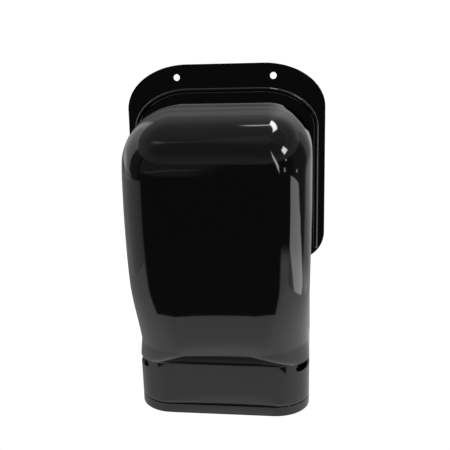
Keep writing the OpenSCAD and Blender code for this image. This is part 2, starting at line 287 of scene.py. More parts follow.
def tube(shape, path, r, sides=8):
    """Adds a round wire along a path of points in space."""
    path = np.asarray(path, float)
    step = np.gradient(path, axis=0)
    step /= np.linalg.norm(step, axis=1, keepdims=True)
    side = np.cross(step, np.array([0.31, 0.17, 0.93]))
    side /= np.linalg.norm(side, axis=1, keepdims=True)
    other = np.cross(step, side)
    points = []
    for k in range(len(path)):
        for a in np.arange(sides) * math.tau / sides:
            points.append(path[k] + r * (math.cos(a) * side[k] + math.sin(a) * other[k]))
    faces = []
    for k in range(len(path) - 1):
        a = k * sides
        faces.extend([[a + i, a + (i + 1) % sides, a + sides + (i + 1) % sides, a + sides + i]
                      for i in range(sides)])
    faces.append(list(range(sides)))
    faces.append(list(range((len(path) - 1) * sides, len(path) * sides)))
    shape.add(points, faces)


def mirrored(side, low, high):
    """A span across x on one side of the middle, lower end first."""
    return sorted((side * low, side * high))


def circle(x, y, r, steps=96):
    """Points round a circle, anticlockwise from its right."""
    a = np.arange(steps) * math.tau / steps
    return np.stack([x + r * np.cos(a), y + r * np.sin(a)], axis=1)


def rectangle(x0, y0, x1, y1):
    """A rectangle's corners, from its lowest and highest x and y."""
    return np.array([(x0, y0), (x1, y0), (x1, y1), (x0, y1)], float)


def arc(cx, cy, rx, ry, a0, a1, steps=30):
    """Points along an ellipse round (cx, cy), from a0 to a1 degrees."""
    a = np.radians(np.linspace(a0, a1, steps + 1))
    return np.stack([cx + rx * np.cos(a), cy + ry * np.sin(a)], axis=1)


def arch(w, foot, top, rx, ry):
    """An arch with upright sides, from its right foot over to its left foot."""
    return np.concatenate([[(w, foot)], arc(w - rx, top - ry, rx, ry, 0, 90),
                           arc(rx - w, top - ry, rx, ry, 90, 180), [(-w, foot)]])


def band(outer, inner):
    """The closed outline of the strip between two arches."""
    return np.concatenate([outer, inner[::-1]])


# ---- The hood: a loft through levels, the same curves as the CAD hood's ----

# Every START, END and BEND is a t: a distance below the hood's top
ROOF_H = 49.0
ROOF_FLAT_D = 8.0
ROOF_FLAT_HALF = 32.0
SHOULDER_W = HOOD_HALF - ROOF_FLAT_HALF
SHOULDER_H = 36.0
CORNER_D = 30.0
FRONT_BEND = 80.8
FRONT_BEND_R = 270.0
TURN_START = 172.8
TURN_R = 22.8
WAIST_START, WAIST_END, WAIST_HALF = 70.0, 171.0, 63.5
LOW_CORNER_START, LOW_CORNER_W, LOW_CORNER_D = 120.0, 40.0, 42.0
NECK_D = 57.1
NECK_R = 26.5
NECK_END = HOOD_TOP - NECK_FOOT
EDGE_R = 0.4
TURN_TILT = math.asin((TURN_START - FRONT_BEND) / FRONT_BEND_R)
TURN_D = HOOD_D - FRONT_BEND_R * (1 - math.cos(TURN_TILT))
NECK_DRAFT = 2.0
CREASE_D = NECK_D + NECK_DRAFT
CREASE_TILT = math.acos(math.cos(TURN_TILT) - (TURN_D - CREASE_D) / TURN_R)
CREASE = TURN_START + TURN_R * (math.sin(CREASE_TILT) - math.sin(TURN_TILT))


def tilt(t):
    """The front's tilt back from upright at t: along the bend, then along the turned-under edge."""
    if t > TURN_START:
        return math.asin(math.sin(TURN_TILT) + (t - TURN_START) / TURN_R)
    return math.asin(max(0, t - FRONT_BEND) / FRONT_BEND_R)


def front_depth(t):
    """The depth of the hood's front at t."""
    if t > TURN_START:
        return TURN_D - TURN_R * (math.cos(TURN_TILT) - math.cos(tilt(t)))
    return HOOD_D - FRONT_BEND_R * (1 - math.cos(tilt(t)))


def half_width(t, e):
    """Half the hood's width at t, inset by e: shoulder, sides, then the draw-in to the neck."""
    if t < SHOULDER_H:
        rise = 1 - (t - e) / (SHOULDER_H - e)
        return ROOF_FLAT_HALF + (SHOULDER_W - e) * math.sqrt(max(0, 1 - rise**2))
    waist = mix(HOOD_HALF, WAIST_HALF, np.clip((t - WAIST_START) / (WAIST_END - WAIST_START), 0, 1))
    return mix(waist, NECK_HALF, ease(WAIST_END, CREASE, t)) - e


def hood_level(t, e):
    """[t, half width, front depth, corner width, corner depth] of the hood at t, inset by e."""
    if t < ROOF_H:
        angle = math.acos(1 - t / ROOF_H)
        level_t = e + (ROOF_H - e) * t / ROOF_H
        w = half_width(level_t, e)
        return [level_t, w, ROOF_FLAT_D + (HOOD_D - ROOF_FLAT_D - e) * math.sin(angle),
                min(w - ROOF_FLAT_HALF, SHOULDER_W - e), (CORNER_D - e) * math.sin(angle)]
    if t > CREASE:
        draft = NECK_DRAFT * np.clip((NECK_END - t) / (NECK_END - CREASE), 0, 1)
        return [t, NECK_HALF - e, NECK_D + draft - e, NECK_R - e, NECK_R - e]
    low = ease(LOW_CORNER_START, TURN_START, t)
    turn = np.clip((TURN_D - front_depth(t)) / (TURN_D - CREASE_D), 0, 1)
    e_front = e * math.cos(tilt(t))
    return [t - e * math.sin(tilt(t)), half_width(t, e), front_depth(t) - e_front,
            mix(mix(SHOULDER_W, LOW_CORNER_W, low), NECK_R, turn) - e,
            mix(mix(CORNER_D, LOW_CORNER_D, low), NECK_R, turn) - e_front]


def outline(level, u, back):
    """Points round a level. u runs 0-1 along the left side, 1-2 round the left corner,
    2-3 across the front, 3-4 round the right corner and 4-5 along the right side."""
    t, w, d, cw, cd = level
    u = np.atleast_1d(np.asarray(u, float))
    half = np.where(u > 2.5, 5 - u, u)
    side = np.clip(half, 0, 1)
    angle = (np.clip(half, 1, 2) - 1) * math.pi / 2
    front = np.clip(half, 2, 2.5) - 2
    x = -(w - cw) * (1 - 2 * front) - cw * np.cos(angle)
    depth = back + (d - cd - back) * side + cd * np.sin(angle)
    return np.stack([np.where(u > 2.5, -x, x), y_at(depth), np.full(len(u), z_at(t))], axis=1)


SLOT_T = 189.0                 # the release slots' middle, below the hood's top
SLOT_R = 2.75                  # half their height, and the radius of their ends
# They run from a depth of 12 to 50 degrees round the neck's corner, measured from where it starts
SLOT_FRONT = NECK_R * math.radians(50)
SLOT_BACK = 12.0 - (NECK_D - NECK_R)
SLOT_EDGE_R = 0.35
# From the wall's face in: how far outside the slot's outline, and how deep in the wall
SLOT_RINGS = [(SLOT_EDGE_R, 0.0), (SLOT_EDGE_R * 0.3, SLOT_EDGE_R * 0.3), (0.0, SLOT_EDGE_R), (0.0, WALL)]
SLOT_U_BACK, SLOT_U_FRONT = 0.33, 1.62   # the columns between these are close together


def around_neck(u):
    """Distance round the neck at u, from where its corner starts; forwards is positive."""
    half = np.where(np.asarray(u) > 2.5, 5 - np.asarray(u), u)
    corner_start = NECK_D - NECK_R
    return np.where(half < 1, (half - 1) * (corner_start - GAP), (half - 1) * NECK_R * math.pi / 2)


def u_of_neck(s, right):
    """The u at a distance s round the neck, on its right or its left."""
    corner_start = NECK_D - NECK_R
    half = 1 + (s / (corner_start - GAP) if s < 0 else s / (NECK_R * math.pi / 2))
    return 5 - half if right else half


def from_slot(s, t):
    """Distance of a point on the neck from the slot's outline, and the slot's nearest middle point."""
    middle = np.clip(s, SLOT_BACK + SLOT_R, SLOT_FRONT - SLOT_R)
    return np.hypot(s - middle, t - SLOT_T) - SLOT_R, middle


def hood_columns():
    """The u of each column of the hood, fine where the slots are."""
    back = np.linspace(0, SLOT_U_BACK, 8)[:-1]
    behind_slot = np.linspace(SLOT_U_BACK, 1, 34)[:-1]
    slot_corner = np.linspace(1, SLOT_U_FRONT, 41)[:-1]
    corner = np.linspace(SLOT_U_FRONT, 2, 14)[:-1]
    front = np.linspace(2, 2.5, 15)[:-1]
    left = np.concatenate([back, behind_slot, slot_corner, corner, front])
    return np.concatenate([left, [2.5], (5 - left)[::-1]])


def hood_rows():
    """The t of each row of the hood, fine at the turned-under edge and at the slots."""
    roof = [ROOF_H * (1 - math.cos(math.radians(a))) for a in np.linspace(2.5, 90, 52)]
    body = list(np.linspace(ROOF_H, TURN_START, 84)[1:])
    turn = [TURN_START + TURN_R * (math.sin(a) - math.sin(TURN_TILT))
            for a in np.linspace(TURN_TILT, CREASE_TILT, 18)[1:]]
    slot = list(np.linspace(CREASE + 0.1, SLOT_T + SLOT_R + 1, 13))
    neck = list(np.linspace(slot[-1], NECK_END - EDGE_R, 12)[1:])
    return roof + body + turn + slot + neck


def cells_in_slots(us, rows):
    """Which cells of the hood's grid of rows and columns the slots take out."""
    s_of = around_neck(us)
    taken = np.zeros((len(rows) - 1, len(us) - 1), bool)
    for r in range(len(rows) - 1):
        t = (rows[r][0] + rows[r + 1][0]) / 2
        if abs(t - SLOT_T) < SLOT_R:
            taken[r] = from_slot((s_of[1:] + s_of[:-1]) / 2, t)[0] < 0
    return taken


def slot_edges(taken, r, c):
    """The sides of a cell that a slot borders, each as its two (row, column) corners."""
    sides = [((r - 1, c), ((r, c), (r, c + 1))), ((r + 1, c), ((r + 1, c), (r + 1, c + 1))),
             ((r, c - 1), ((r, c), (r + 1, c))), ((r, c + 1), ((r, c + 1), (r + 1, c + 1)))]
    rows, columns = taken.shape
    return [side for (row, column), side in sides
            if 0 <= row < rows and 0 <= column < columns and taken[row, column]]


def slot_ring_points(u, t):
    """Where a grid point on a slot's border goes: one point on each of the slot's rings."""
    s = around_neck(u)
    middle = from_slot(s, t)[1]
    away = np.array([s - middle, t - SLOT_T])
    away /= np.linalg.norm(away)
    found = []
    for grow, e in SLOT_RINGS:
        ring_s, ring_t = np.array([middle, SLOT_T]) + away * (SLOT_R + grow)
        found.append(outline(hood_level(ring_t, e), [u_of_neck(ring_s, u > 2.5)], GAP)[0])
    return found


def make_hood():
    """The hood as one closed shell, with rounded edges and a release slot in each side."""
    us, ts = hood_columns(), hood_rows()
    foot = [(NECK_END - EDGE_R * (1 - math.sin(a)), EDGE_R * (1 - math.cos(a)))
            for a in np.linspace(0, math.pi / 2, 4)[1:]]
    outer_rows = [(t, 0.0) for t in ts] + foot
    inner_rows = [(t, WALL) for t in ts] + [(t, WALL - e) for t, e in foot]
    columns, rows = len(us), len(outer_rows)
    points = []
    for t, e in outer_rows + inner_rows:
        points.extend(outline(hood_level(t, e), us, GAP))

    def at(row, column, inner=0):
        """The number of a grid point, on the hood's outer face or its inner one."""
        return (inner * rows + row) * columns + column

    faces, edges = [], []
    taken = cells_in_slots(us, outer_rows)
    for r in range(rows - 1):
        for c in range(columns - 1):
            if taken[r, c]:
                continue
            for inner in (0, 1):
                faces.append([at(r, c, inner), at(r, c + 1, inner),
                              at(r + 1, c + 1, inner), at(r + 1, c, inner)])
            edges.extend(slot_edges(taken, r, c))

    # The slots' walls. The first and last rings are the grid's own points, moved onto the outline.
    ring_ids = {}
    for row, column in sorted({corner for edge in edges for corner in edge}):
        first, *between, last = slot_ring_points(us[column], outer_rows[row][0])
        points[at(row, column)], points[at(row, column, 1)] = first, last
        added = range(len(points), len(points) + len(between))
        ring_ids[(row, column)] = [at(row, column), *added, at(row, column, 1)]
        points.extend(between)
    for a, b in edges:
        for k in range(len(SLOT_RINGS) - 1):
            faces.append([ring_ids[a][k], ring_ids[b][k], ring_ids[b][k + 1], ring_ids[a][k + 1]])

    # The roof's two flat middles, the edges against the flange, and the neck's foot
    end = columns - 1
    for inner in (0, 1):
        faces.append([at(0, c, inner) for c in range(columns)])
    faces.append([at(0, 0), at(0, end), at(0, end, 1), at(0, 0, 1)])
    for r in range(rows - 1):
        for c in (0, end):
            faces.append([at(r, c), at(r + 1, c), at(r + 1, c, 1), at(r, c, 1)])
    for c in range(end):
        faces.append([at(rows - 1, c), at(rows - 1, c + 1),
                      at(rows - 1, c + 1, 1), at(rows - 1, c, 1)])
    hood = Shape()
    hood.add(points, faces)
    hood.make("hood_shell", "cover", "hood_cover", flat_sided=False)


# ---- The base moulding ----

DUCT_R = 50.6
SLEEVE_R = DUCT_R + 2.4
SLEEVE_H = 9.0
FLANGE_H = 150.0
FLANGE_FOOT = FLANGE_TOP - FLANGE_H
FLANGE_CORNER = 22.0           # the lower corners' radius
FLANGE_TOP_RX, FLANGE_TOP_RY = 46.0, 33.0
BURY = 1.0                     # how far a feature's foot runs into the plate that carries it
FIXING_X, FIXING_HIGH, FIXING_LOW, FIXING_R = 36.5, 85.5, -45.5, 2.5
LAND_R = 4.2                   # the solid lands round the upper holes, in the gasket's recess
GASKET_T, GASKET_GAP = 1.0, 0.2
GASKET_FOOT = FLANGE_FOOT + 23
GASKET_OUT, GASKET_OUT_TOP, GASKET_OUT_RX, GASKET_OUT_RY = 71.0, FLANGE_TOP - 4, 43.0, 30.0
GASKET_IN, GASKET_IN_TOP, GASKET_IN_RX, GASKET_IN_RY = 59.0, FLANGE_TOP - 16, 36.0, 24.0
RIDGE_HALF, RIDGE_TOP, RIDGE_T, RIDGE_H = 69.9, FLANGE_TOP - 18, 3.2, 1.8
RIDGE_RX, RIDGE_RY = 42.0, 30.0
RIDGE_FOOT = FLANGE_FOOT + 9
RIDGE_RAMP = 3.0               # its two ends rise over this length
RIDGE_SIDE_TOP = 40.0          # the highest of the points added up its straight sides
UPSTAND_IN, UPSTAND_T, UPSTAND_H = WALL + GAP, 2.0, 7.0
UPSTAND_FOOT = NECK_FOOT + 13.5
SEAL_IN, SEAL_OUT, SEAL_GROOVE, SEAL_PROUD = 0.5, 2.1, 0.7, 0.2
SEAL_FOOT = NECK_FOOT + 1
PIVOT_Y, PIVOT_Z = y_at(5), 56.0
LUG_IN, LUG_OUT, LUG_R, BUSH_R = 30.0, 34.0, 4.5, 3.5
STEM_D, STEM = 22.0, 5.0
POST_IN, POST_OUT, POST_HALF_H, POST_D = 44.0, 47.0, 6.5, STEM_D + 8
BUTTON_Z = z_at(SLOT_T)


def hood_arch(e, foot):
    """The hood's outline where it meets the flange, inset by e, from its right foot to its left."""
    ts = np.linspace(HOOD_TOP - foot, SHOULDER_H, 40)
    side = np.array([(half_width(t, e), z_at(t)) for t in ts])
    shoulder = arc(ROOF_FLAT_HALF, z_at(SHOULDER_H), SHOULDER_W - e, SHOULDER_H - e, 0, 90)[1:]
    half = np.concatenate([side, shoulder])
    return np.concatenate([half, half[::-1] * (-1, 1)])


def plate_outline():
    """The flange with the tail plate that runs down behind the neck."""
    corner, half, rx, ry = FLANGE_CORNER, FLANGE_HALF, FLANGE_TOP_RX, FLANGE_TOP_RY
    meets = -math.degrees(math.acos((NECK_HALF - half + corner) / corner))
    right = np.concatenate([
        [(NECK_HALF, NECK_FOOT)],
        arc(half - corner, FLANGE_FOOT + corner, corner, corner, meets, 0, 14),
        arc(half - rx, FLANGE_TOP - ry, rx, ry, 0, 90, 48)])
    return np.concatenate([right, right[::-1] * (-1, 1)])


def gasket_loops(grow):
    """The gasket's outline, grown all round: an arch-shaped strip."""
    foot = GASKET_FOOT - grow
    outer = arch(GASKET_OUT + grow, foot, GASKET_OUT_TOP + grow, GASKET_OUT_RX, GASKET_OUT_RY)
    inner = arch(GASKET_IN - grow, foot, GASKET_IN_TOP - grow, GASKET_IN_RX, GASKET_IN_RY)
    return [band(outer, inner)]


def fixing_loops(places):
    """The fixing holes' outlines at these heights."""
    return [circle(x, z, FIXING_R, 64) for x in (-FIXING_X, FIXING_X) for z in places]


def make_ridge(base):
    """The rounded ridge that follows the flange's edge, low at its two ends."""
    half_t = RIDGE_T / 2
    path = arch(RIDGE_HALF - half_t, RIDGE_FOOT, RIDGE_TOP - half_t,
                RIDGE_RX - half_t, RIDGE_RY - half_t)
    upright = np.linspace(RIDGE_FOOT + RIDGE_RAMP, RIDGE_SIDE_TOP, 8)
    path = np.concatenate([path[:1], [(path[0][0], z) for z in upright], path[1:-1],
                           [(-path[0][0], z) for z in upright[::-1]], path[-1:]])
    crown = [(half_t * x, y_at(RIDGE_H * (1 - abs(x) ** 2.2) ** 0.5))
             for x in np.sin(np.linspace(-math.pi / 2, math.pi / 2, 21))]
    foot = y_at(-BURY / 2)
    swept(base, path, [(-half_t, foot)] + crown + [(half_t, foot)], "y", end_scale=0.3)


def make_base():
    """The flange with its ridge, rib and duct sleeve, the spindle's lugs and the buttons' posts."""
    base = Shape()
    plate = plate_outline()
    bore = circle(0, 0, DUCT_R, 160)
    extruded(base, [plate, bore] + fixing_loops((FIXING_HIGH, FIXING_LOW)),
             y_at(0), -GASKET_T, "y", 0.5, 0)
    extruded(base, [plate, bore] + gasket_loops(GASKET_GAP) + fixing_loops((FIXING_LOW,)),
             -GASKET_T, 0, "y", 0, 0.4)
    for x in (-FIXING_X, FIXING_X):
        extruded(base, [circle(x, FIXING_HIGH, LAND_R, 64), circle(x, FIXING_HIGH, FIXING_R, 64)],
                 -GASKET_T, 0, "y", 0, 0.2)
    make_ridge(base)
    rib = band(hood_arch(UPSTAND_IN, UPSTAND_FOOT), hood_arch(UPSTAND_IN + UPSTAND_T, UPSTAND_FOOT))
    extruded(base, [rib], y_at(UPSTAND_H), y_at(-BURY), "y", 0.5, 0)
    extruded(base, [circle(0, 0, SLEEVE_R, 160), bore], y_at(SLEEVE_H), y_at(-BURY), "y", 0.7, 0)
    for side in (-1, 1):
        lug_top = PIVOT_Z + LUG_R + 1
        lug = np.concatenate([[(PLATE_MIDDLE_Y, PIVOT_Z - LUG_R)],
                              arc(PIVOT_Y, PIVOT_Z, LUG_R, LUG_R, 270, 90, 24),
                              [(PIVOT_Y, lug_top), (PLATE_MIDDLE_Y, lug_top)]])
        low, high = mirrored(side, LUG_IN, LUG_OUT)
        extruded(base, [lug, circle(PIVOT_Y, PIVOT_Z, BUSH_R, 48)], low, high, "x", 0.25, 0.25)
        post = rectangle(y_at(POST_D), BUTTON_Z - POST_HALF_H, PLATE_MIDDLE_Y, BUTTON_Z + POST_HALF_H)
        hole = STEM / 2 + GAP
        window = rectangle(y_at(STEM_D) - hole, BUTTON_Z - hole, y_at(STEM_D) + hole, BUTTON_Z + hole)
        low, high = mirrored(side, POST_IN, POST_OUT)
        extruded(base, [post, window], low, high, "x", 0.4, 0.4)
    return base.make("base_moulding", "base", "base_flange", sharp_angle=50)


def make_gasket():
    """The foam strip in the recess in the flange's back."""
    gasket = Shape()
    holes = [circle(x, FIXING_HIGH, LAND_R + GASKET_GAP, 64) for x in (-FIXING_X, FIXING_X)]
    extruded(gasket, gasket_loops(0) + holes, -GASKET_T, 0, "y", 0.1, 0.15)
    return gasket.make("gasket_foam", "base", "flange_gasket")


def make_seal():
    """The rubber strip that the hood's edge closes on."""
    seal = Shape()
    loop = band(hood_arch(SEAL_IN, SEAL_FOOT), hood_arch(SEAL_OUT, SEAL_FOOT))
    extruded(seal, [loop], y_at(SEAL_PROUD), y_at(-SEAL_GROOVE), "y", 0.15, 0.1)
    return seal.make("seal_rubber", "base", "cover_seal")


# ---- The outlet and its screen ----

RIM_TOP = NECK_FOOT - 0.4
RIM_FOOT = rim_low[2]
SPIGOT_T, SPIGOT_H = 1.6, 10.0
SPIGOT_IN = WALL + GAP
RIM_IN = SPIGOT_IN + SPIGOT_T
SPIGOT_BACK = -(PLATE_T + 0.5)
RIM_INNER_BACK = SPIGOT_BACK - SPIGOT_T
LEDGE_W, LEDGE_T = 5.0, 1.5
LEDGE_IN = RIM_IN + LEDGE_W
LEDGE_Z = RIM_TOP + 2
MESH_T = 0.8
FRAME_T = 2.4
FRAME_TOP = LEDGE_Z + MESH_T + FRAME_T
SCREW_BACK_X, SCREW_FRONT_X, SCREW_INSET = 40.0, 32.0, 2.5
SCREWS = [(side * x, y) for side in (-1, 1)
          for x, y in ((SCREW_BACK_X, RIM_INNER_BACK - SCREW_INSET),
                       (SCREW_FRONT_X, y_at(NECK_D - RIM_IN - SCREW_INSET)))]
SCREW_R, SCREW_HOLE_R, SCREW_HEAD_R, SCREW_HEAD_H = 0.9, 1.2, 1.9, 1.3
CROSS_HALF, CROSS_ARM, CROSS_DEPTH = 0.25, 1.1, 0.7


def neck_plan(e, back):
    """The neck's outline seen from below, inset by e: from its back to its round front corners."""
    half, r, front = NECK_HALF - e, NECK_R - e, y_at(NECK_D - e)
    return np.concatenate([[(half, back)], arc(half - r, front + r, r, r, 0, -90, 36),
                           arc(r - half, front + r, r, r, -90, -180, 36), [(-half, back)]])


def make_rim():
    """The ring under the neck, with a spigot up inside it and a ledge for the screen."""
    rim = Shape()
    opening = neck_plan(RIM_IN, RIM_INNER_BACK)
    extruded(rim, [neck_plan(0, -0.5), opening], RIM_FOOT, RIM_TOP, "z", 1.2, 0.3)
    spigot = neck_plan(SPIGOT_IN, SPIGOT_BACK)
    extruded(rim, [spigot, opening], RIM_TOP - 0.5, RIM_TOP + SPIGOT_H, "z", 0, 0.4)
    holes = [circle(x, y, SCREW_R, 16) for x, y in SCREWS]
    ledge = [neck_plan(RIM_IN - 0.5, RIM_INNER_BACK + 0.5), neck_plan(LEDGE_IN, RIM_INNER_BACK - LEDGE_W)]
    extruded(rim, ledge + holes, LEDGE_Z - LEDGE_T, LEDGE_Z, "z", 0.25, 0.25)
    rim.make("rim_moulding", "cartridge", "outlet_rim")


def make_screen_frame():
    """The ring that clamps the mesh onto the rim's ledge."""
    ring = Shape()
    holes = [circle(x, y, SCREW_HOLE_R, 24) for x, y in SCREWS]
    loops = [neck_plan(RIM_IN + GAP, RIM_INNER_BACK - GAP), neck_plan(LEDGE_IN, RIM_INNER_BACK - LEDGE_W)]
    extruded(ring, loops + holes, LEDGE_Z + MESH_T, FRAME_TOP, "z", 0.1, 0.35)
    ring.make("screen_ring", "cartridge", "screen_frame")


def make_mesh():
    """Plain weave: each wire passes over and under the ones that cross it."""
    pitch, wire_r, lift, reach, most = 2.5, 0.19, 0.19, 65.0, 24
    plan = neck_plan(RIM_IN + GAP + 0.3, RIM_INNER_BACK - GAP - 0.3)
    middle = LEDGE_Z + MESH_T / 2
    weave = Shape()
    x_span = np.arange(-most, most + 1) * pitch
    first, last = math.ceil(plan[:, 1].min() / pitch), math.floor(plan[:, 1].max() / pitch)
    y_span = np.arange(first, last + 1) * pitch
    for axis, places in ((0, x_span), (1, y_span)):
        for k, place in enumerate(places):
            run = np.arange(-reach, reach + 0.01, pitch / 6)
            spots = np.stack([np.full(len(run), place), run] if axis == 0
                             else [run, np.full(len(run), place)], axis=1)
            kept = [p for p in spots if inside(p, [plan])]
            if len(kept) < 3:
                continue
            kept = np.array(kept)
            phase = kept[:, 1 - axis] / pitch + k + axis
            height = middle + lift * np.cos(math.pi * phase)
            tube(weave, np.column_stack([kept, height]), wire_r, 6)
    weave.make("mesh_weave", "cartridge", "insect_mesh", flat_sided=False)


def cross_outline():
    """A cross recess: one arm's three corners, turned to each of its four sides."""
    turns = [((1, 0), (0, 1)), ((0, -1), (1, 0)), ((-1, 0), (0, -1)), ((0, 1), (-1, 0))]
    arm = [(CROSS_HALF, CROSS_HALF), (CROSS_HALF, CROSS_ARM), (-CROSS_HALF, CROSS_ARM)]
    return np.concatenate([np.array(arm) @ np.array(turn).T for turn in turns])


def make_screws():
    """Four cross-head screws, which hold the screen frame down onto the ledge."""
    screws = Shape()
    head_top = FRAME_TOP + SCREW_HEAD_H
    recess_foot = head_top - CROSS_DEPTH
    for x, y in SCREWS:
        head = circle(x, y, SCREW_HEAD_R, 48)
        extruded(screws, [head, cross_outline() + (x, y)], recess_foot, head_top, "z", 0, 0.3)
        extruded(screws, [head], FRAME_TOP, recess_foot, "z", 0.1, 0)
        extruded(screws, [circle(x, y, SCREW_R, 24)], LEDGE_Z - 2, FRAME_TOP + 0.1, "z", 0.3, 0)
    screws.make("screw_set", "cartridge", "screen_screws")


# ---- The damper, its spindle and the release buttons ----

SEAL_T = 1.9
FLAP_R, FLAP_T = 54.5, 2.2
FLAP_D = SLEEVE_H + 0.1 + SEAL_T
FLAP_EDGE_W, FLAP_EDGE_H = 2.0, 1.2
FLAP_RIB_T, FLAP_RIB_HALF, FLAP_RIB_PITCH, FLAP_RIB_H = 1.6, 38.0, 30.0, 1.0
STRAP_FOOT = 40.0
KNUCKLE_IN, KNUCKLE_OUT, KNUCKLE_R = 20.0, 28.0, 4.0
SPINDLE_R = 2.0
BUTTON_FACE, BUTTON_BACK, BUTTON_TRAVEL = 61.1, 56.9, 3.0


def make_flap():
    """The round flap with its raised edge, ribs and knuckles."""
    flap = Shape()
    front = FLAP_D + FLAP_T
    extruded(flap, [circle(0, 0, FLAP_R, 160)], y_at(front), y_at(FLAP_D), "y", 0, 0.3)
    extruded(flap, [circle(0, 0, FLAP_R, 160), circle(0, 0, FLAP_R - FLAP_EDGE_W, 160)],
             y_at(front + FLAP_EDGE_H), y_at(FLAP_D + 0.5), "y", 0.5, 0)
    for x in (-FLAP_RIB_PITCH, 0, FLAP_RIB_PITCH):
        rib = rectangle(x - FLAP_RIB_T / 2, -FLAP_RIB_HALF, x + FLAP_RIB_T / 2, FLAP_RIB_HALF)
        extruded(flap, [rib], y_at(front + FLAP_RIB_H), y_at(front - 0.5), "y", 0.3, 0)
    for side in (-1, 1):
        low, high = mirrored(side, KNUCKLE_IN, KNUCKLE_OUT)
        knuckle = np.concatenate([[(y_at(front), PIVOT_Z - KNUCKLE_R)],
                                  arc(PIVOT_Y, PIVOT_Z, KNUCKLE_R, KNUCKLE_R, -90, 90, 24),
                                  [(y_at(front), PIVOT_Z + 1)]])
        extruded(flap, [knuckle, circle(PIVOT_Y, PIVOT_Z, SPINDLE_R, 48)], low, high, "x", 0.3, 0.3)
        strap = rectangle(low, STRAP_FOOT, high, PIVOT_Z + 1)
        extruded(flap, [strap], y_at(front), y_at(FLAP_D), "y", 0.25, 0.25)
    flap.make("flap_moulding", "damper", "damper_flap")


def make_foam_ring():
    """The flap's seal, which closes on the duct sleeve's end."""
    ring = Shape()
    extruded(ring, [circle(0, 0, FLAP_R - 0.5, 160), circle(0, 0, FLAP_R - 5, 160)],
             y_at(FLAP_D), y_at(FLAP_D - SEAL_T), "y", 0.05, 0.5)
    ring.make("foam_ring", "damper", "damper_seal")


def make_spindle():
    """The rod that the flap hangs on."""
    spindle = Shape()
    round_end = circle(PIVOT_Y, PIVOT_Z, SPINDLE_R, 64)
    extruded(spindle, [round_end], -SPINDLE_HALF, SPINDLE_HALF, "x", 0.4, 0.4)
    spindle.make("spindle_rod", "damper", "damper_spindle")


def make_spring(side, name):
    """A coil spring between the post and the button's plate, flat for a share of its wire at each end. It
    is made at one length, though the real one shortens as the button goes in."""
    turns, coil_r, wire_r, flat_share = 5.5, 4.6, 0.38, 0.12
    start, end = POST_OUT + 0.1, BUTTON_BACK - 0.1
    a = np.linspace(0, turns * math.tau, int(turns * 28))
    share = a / a[-1]
    along = mix(start + wire_r, end - wire_r, np.clip((share - flat_share) / (1 - 2 * flat_share), 0, 1))
    spring = Shape()
    tube(spring, np.column_stack([side * along, y_at(STEM_D) + coil_r * np.cos(a),
                                  BUTTON_Z + coil_r * np.sin(a)]), wire_r, 8)
    piece = spring.make("coil_" + name, "base", "button_spring_" + name, flat_sided=False)
    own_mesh(piece)


def make_button(side, name):
    """A button: the nose in the slot, the plate behind it, the stem and the stem's head."""
    nose_near, nose_far, plate = 14, 30, 2.0
    nose_half, plate_half, head_half = 2.15, 5.5, 3.6

    def block(near, far, half_h):
        """A rectangle between two depths, centred on the button's height."""
        return rectangle(y_at(far), BUTTON_Z - half_h, y_at(near), BUTTON_Z + half_h)

    button = Shape()
    steps = [
        (block(nose_near, nose_far, nose_half), BUTTON_BACK + plate - 0.1, BUTTON_FACE, 0, 0.6),
        (block(nose_near - 2, nose_far + 2, plate_half), BUTTON_BACK, BUTTON_BACK + plate, 0.3, 0.3),
        (block(STEM_D - STEM / 2, STEM_D + STEM / 2, STEM / 2), POST_IN - 1, BUTTON_BACK + 0.5, 0, 0),
        (block(STEM_D - head_half, STEM_D + head_half, head_half), POST_IN - 1.8, POST_IN - 0.2, 0.3, 0.2)]
    for loop, low, high, r_low, r_high in steps:
        if side < 0:
            low, high, r_low, r_high = -high, -low, r_high, r_low
        extruded(button, [loop], low, high, "x", r_low, r_high)
    button.make("button_moulding_" + name, "button_" + name, "release_button_" + name)


# ---- Node tools ----


class Nodes:
    """A node tree with short calls for what the materials and the world use."""

    def __init__(self, tree):
        self.tree = tree
        tree.nodes.clear()

    def add(self, kind, inputs=None, **settings):
        """A node of this kind, with values or links for its inputs."""
        node = self.tree.nodes.new(kind)
        for name, value in settings.items():
            setattr(node, name, value)
        for name, value in (inputs or {}).items():
            self.put(node.inputs[name], value)
        return node

    def put(self, socket, value):
        """Links a socket to another node's output, or sets its own value."""
        if isinstance(value, bpy.types.NodeSocket):
            self.tree.links.new(value, socket)
        else:
            socket.default_value = value

    def math(self, operation, *values):
        """The result of one sum on values or outputs."""
        node = self.tree.nodes.new("ShaderNodeMath")
        node.operation = operation
        for socket, value in zip(node.inputs, values):
            self.put(socket, value)
        return node.outputs[0]

    def ramp(self, value, low, high, to_low=0.0, to_high=1.0, shape="SMOOTHSTEP"):
        """Maps value from low-high to to_low-to_high; low may be the greater."""
        node = self.add("ShaderNodeMapRange", interpolation_type=shape)
        for name, number in (("Value", value), ("From Min", low), ("From Max", high),
                             ("To Min", to_low), ("To Max", to_high)):
            self.put(node.inputs[name], number)
        return node.outputs["Result"]

    def blend(self, factor, low, high):
        """The first shader where the factor is 0, and the second where it is 1."""
        node = self.tree.nodes.new("ShaderNodeMixShader")
        for socket, value in zip(node.inputs, (factor, low.outputs[0], high.outputs[0])):
            self.put(socket, value)
        return node

    def white_to_camera(self, shaded, white):
        """The white shader to camera rays, and the shaded one to all others."""
        return self.blend(self.add("ShaderNodeLightPath").outputs["Is Camera Ray"], shaded, white)


def new_material(name):
    """A material and its emptied node tree."""
    material = bpy.data.materials.new(name)
    material.use_nodes = True
    return material, Nodes(material.node_tree)


